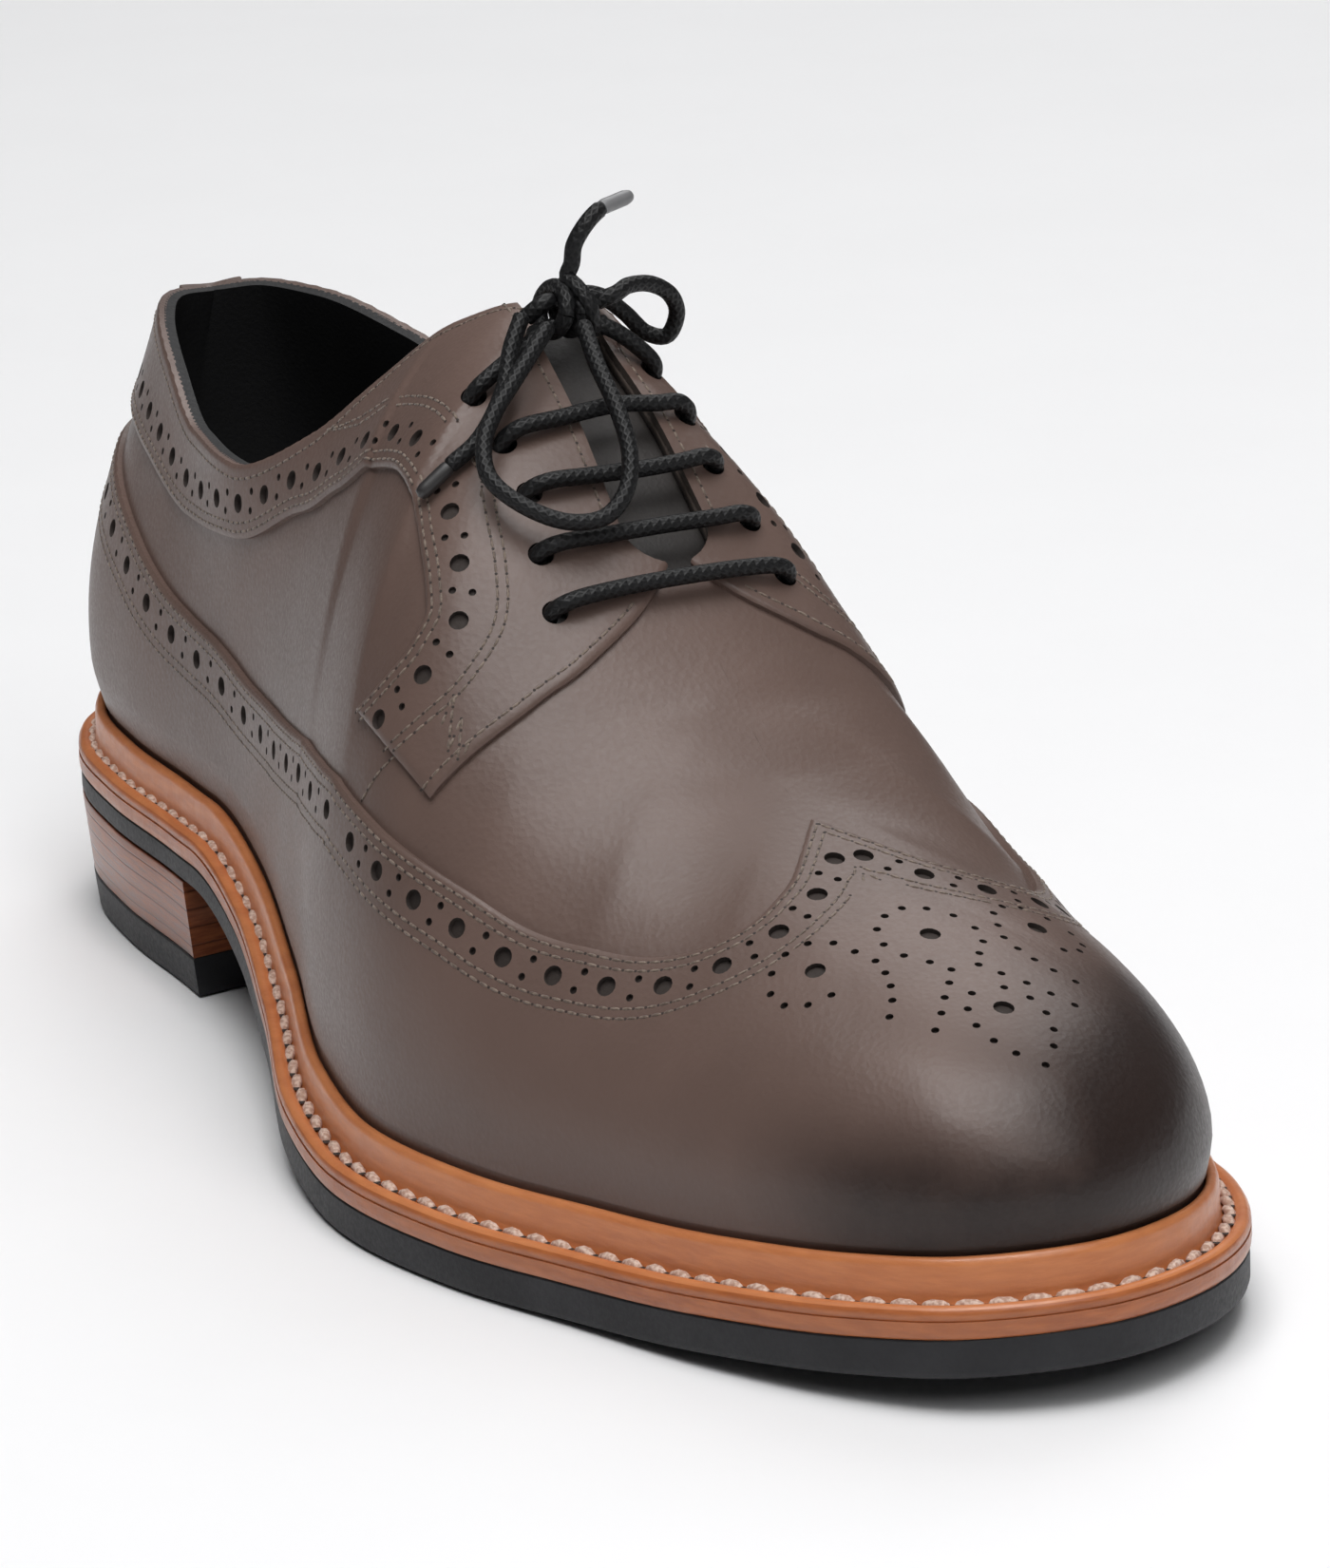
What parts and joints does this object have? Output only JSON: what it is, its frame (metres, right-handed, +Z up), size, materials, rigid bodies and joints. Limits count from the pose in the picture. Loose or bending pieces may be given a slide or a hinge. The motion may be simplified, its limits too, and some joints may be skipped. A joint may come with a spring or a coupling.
{
  "type": "longwing brogue shoe",
  "caption": "Low lace-up dress shoe with a long wing cap, punched edges, an arched collar band, a stitched welt and a studded rubber sole on a stacked heel.",
  "frame": {"origin": "bottom centre of the shoe's bounding box without the bow, on the floor plane that the heel and the tread rest on", "axes": "+X from the heel to the toe, +Y to the medial side, +Z up. The shoe stands empty on its sole."},
  "size_m": [0.312, 0.114, 0.1429],
  "materials": {
    "leather": "smooth polished taupe-grey calf, burnished darker at the toe",
    "tan": "tan edge-dressed sole leather",
    "stack": "reddish brown stacked leather, waxed",
    "rubber": "matt black rubber",
    "lace": "round waxed black cotton",
    "tip": "pale grey lace tip"
  },
  "bodies": {
    "root": {"outsole": "rubber", "midsole": "tan", "welt": "tan", "heel_stack": "stack", "heel_top_lift": "rubber", "insole": "tan", "upper": "leather", "tongue": "leather", "lace_bar_2": "lace", "lace_bar_3": "lace", "lace_bar_4": "lace", "lace_bar_5": "lace", "lace_lead_lateral": "lace", "lace_lead_medial": "lace", "lace_knot": "lace", "lace_loop_lateral": "lace", "lace_loop_medial": "lace", "lace_end_upper": "lace", "lace_end_lower": "lace", "lace_tip_upper": "tip", "lace_tip_lower": "tip"}
  },
  "joints": []
}
